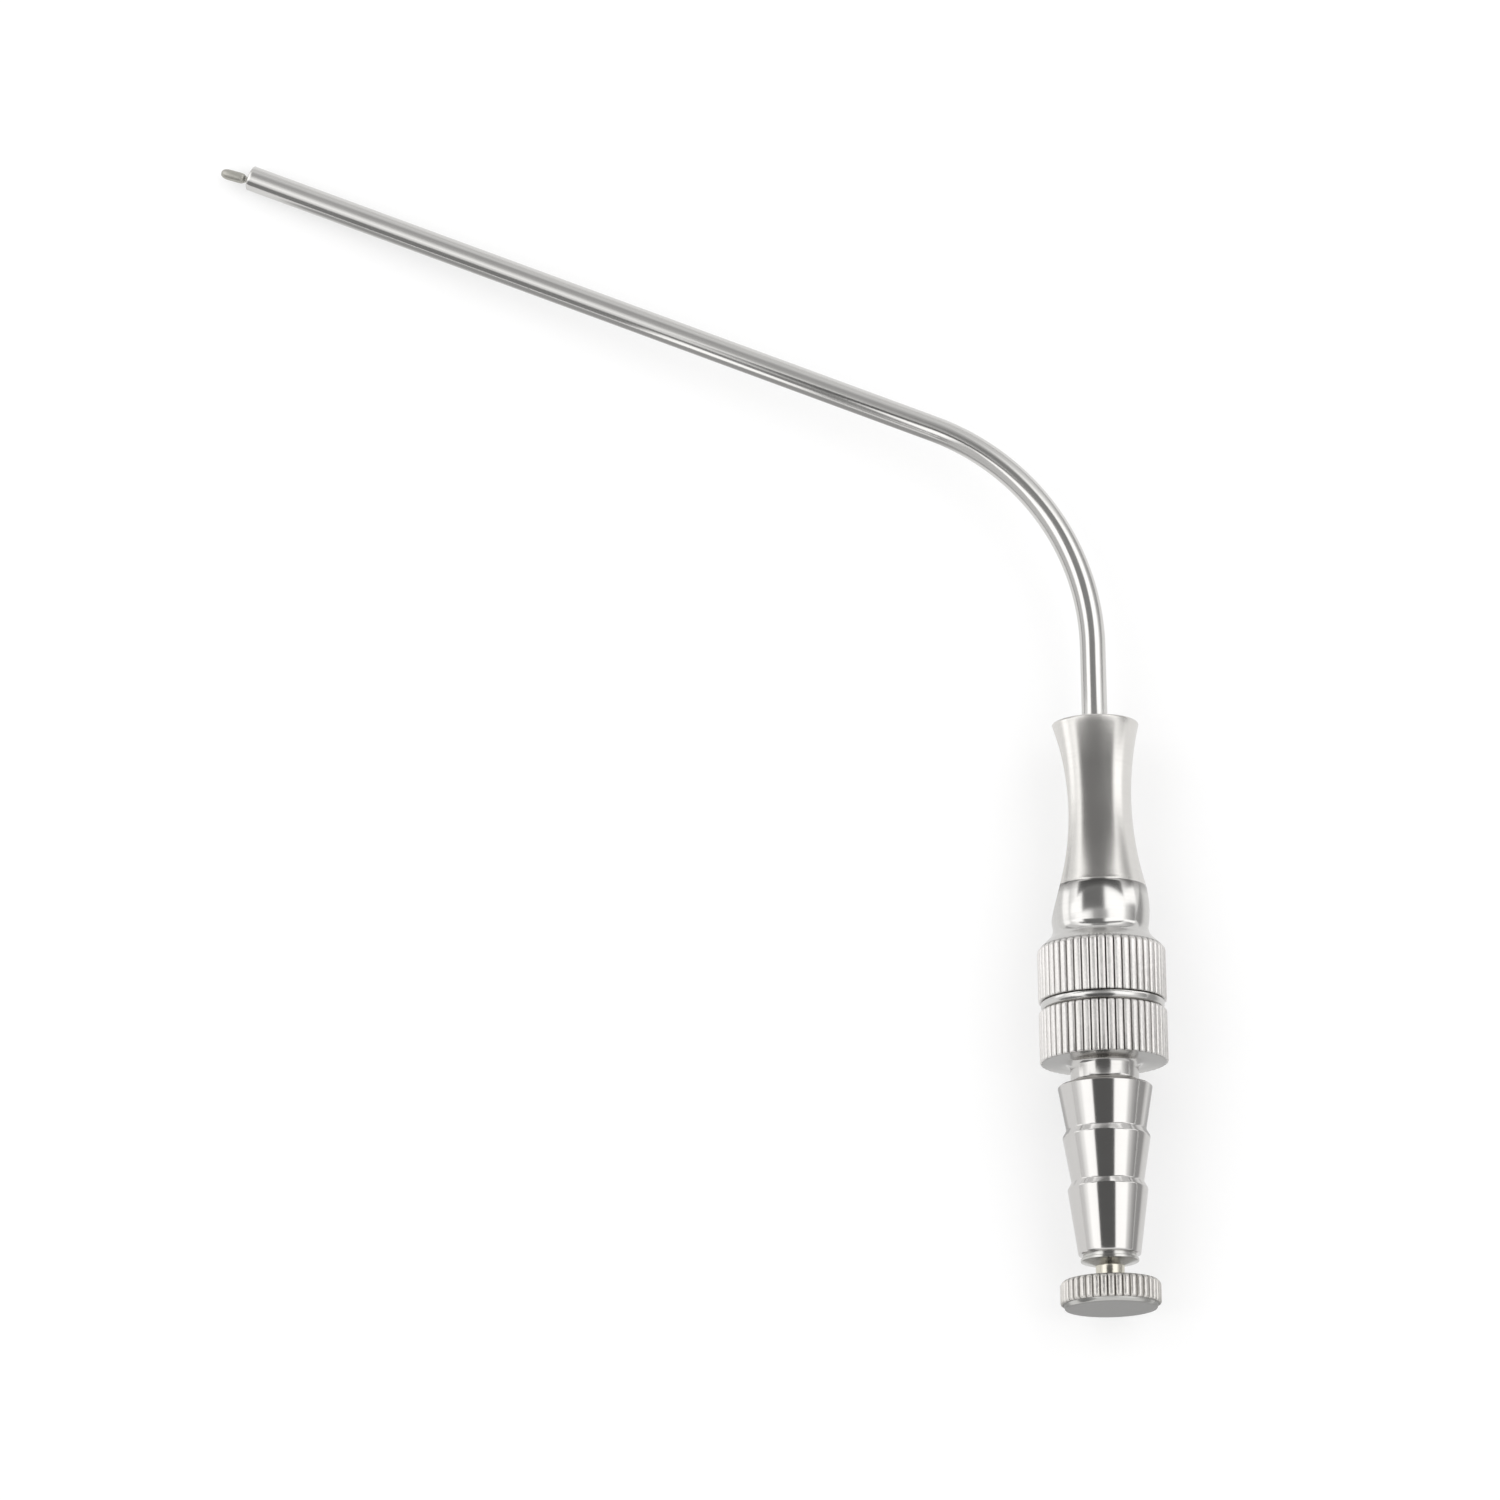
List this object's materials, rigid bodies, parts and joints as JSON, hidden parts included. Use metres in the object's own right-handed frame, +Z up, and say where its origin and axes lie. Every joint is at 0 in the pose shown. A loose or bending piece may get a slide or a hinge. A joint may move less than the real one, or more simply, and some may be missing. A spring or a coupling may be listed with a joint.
{
  "type": "suction tube with stylet",
  "caption": "Angled steel suction tube on a turned handle with thumb vent, screwed-in barbed hose connector and a pull-out cleaning stylet.",
  "frame": {"origin": "centre of the bounding box's underside, with the tube lying on its side on a table", "axes": "+Z up; +Y along the handle's axis from the knob towards the tube; the tube bends towards -X"},
  "size_m": [0.11, 0.1424, 0.0148],
  "materials": {
    "satin_tube": "stainless steel tube, satin polished lengthwise",
    "satin_handle": "stainless steel, satin above the bulge and polished on it, straight knurling",
    "polished_connector": "stainless steel, bright turned barbs, straight knurling",
    "knob_steel": "stainless steel, turned, satin end face",
    "spring_wire": "drawn spring steel wire",
    "brazed_tip": "dull brazed olive"
  },
  "bodies": {
    "root": {"suction_tube": "satin_tube", "handle": "satin_handle", "hose_connector": "polished_connector"},
    "stylet": {"stylet_knob": "knob_steel", "stylet_wire": "spring_wire"},
    "stylet_end": {"stylet_tip": "brazed_tip"}
  },
  "joints": [
    {"name": "stylet_slide", "type": "slide", "parent": "root", "child": "stylet", "axis": [0, -1, 0], "range_m": [0, 0.075], "deforming": ["stylet_wire"]},
    {"name": "tip_slide", "type": "slide", "parent": "root", "child": "stylet_end", "axis": [0.9154, -0.3987, 0.0547], "range_m": [0, 0.075]}
  ],
  "couplings": [
    {"joint": "tip_slide", "follows": "stylet_slide", "ratio": 1}
  ]
}
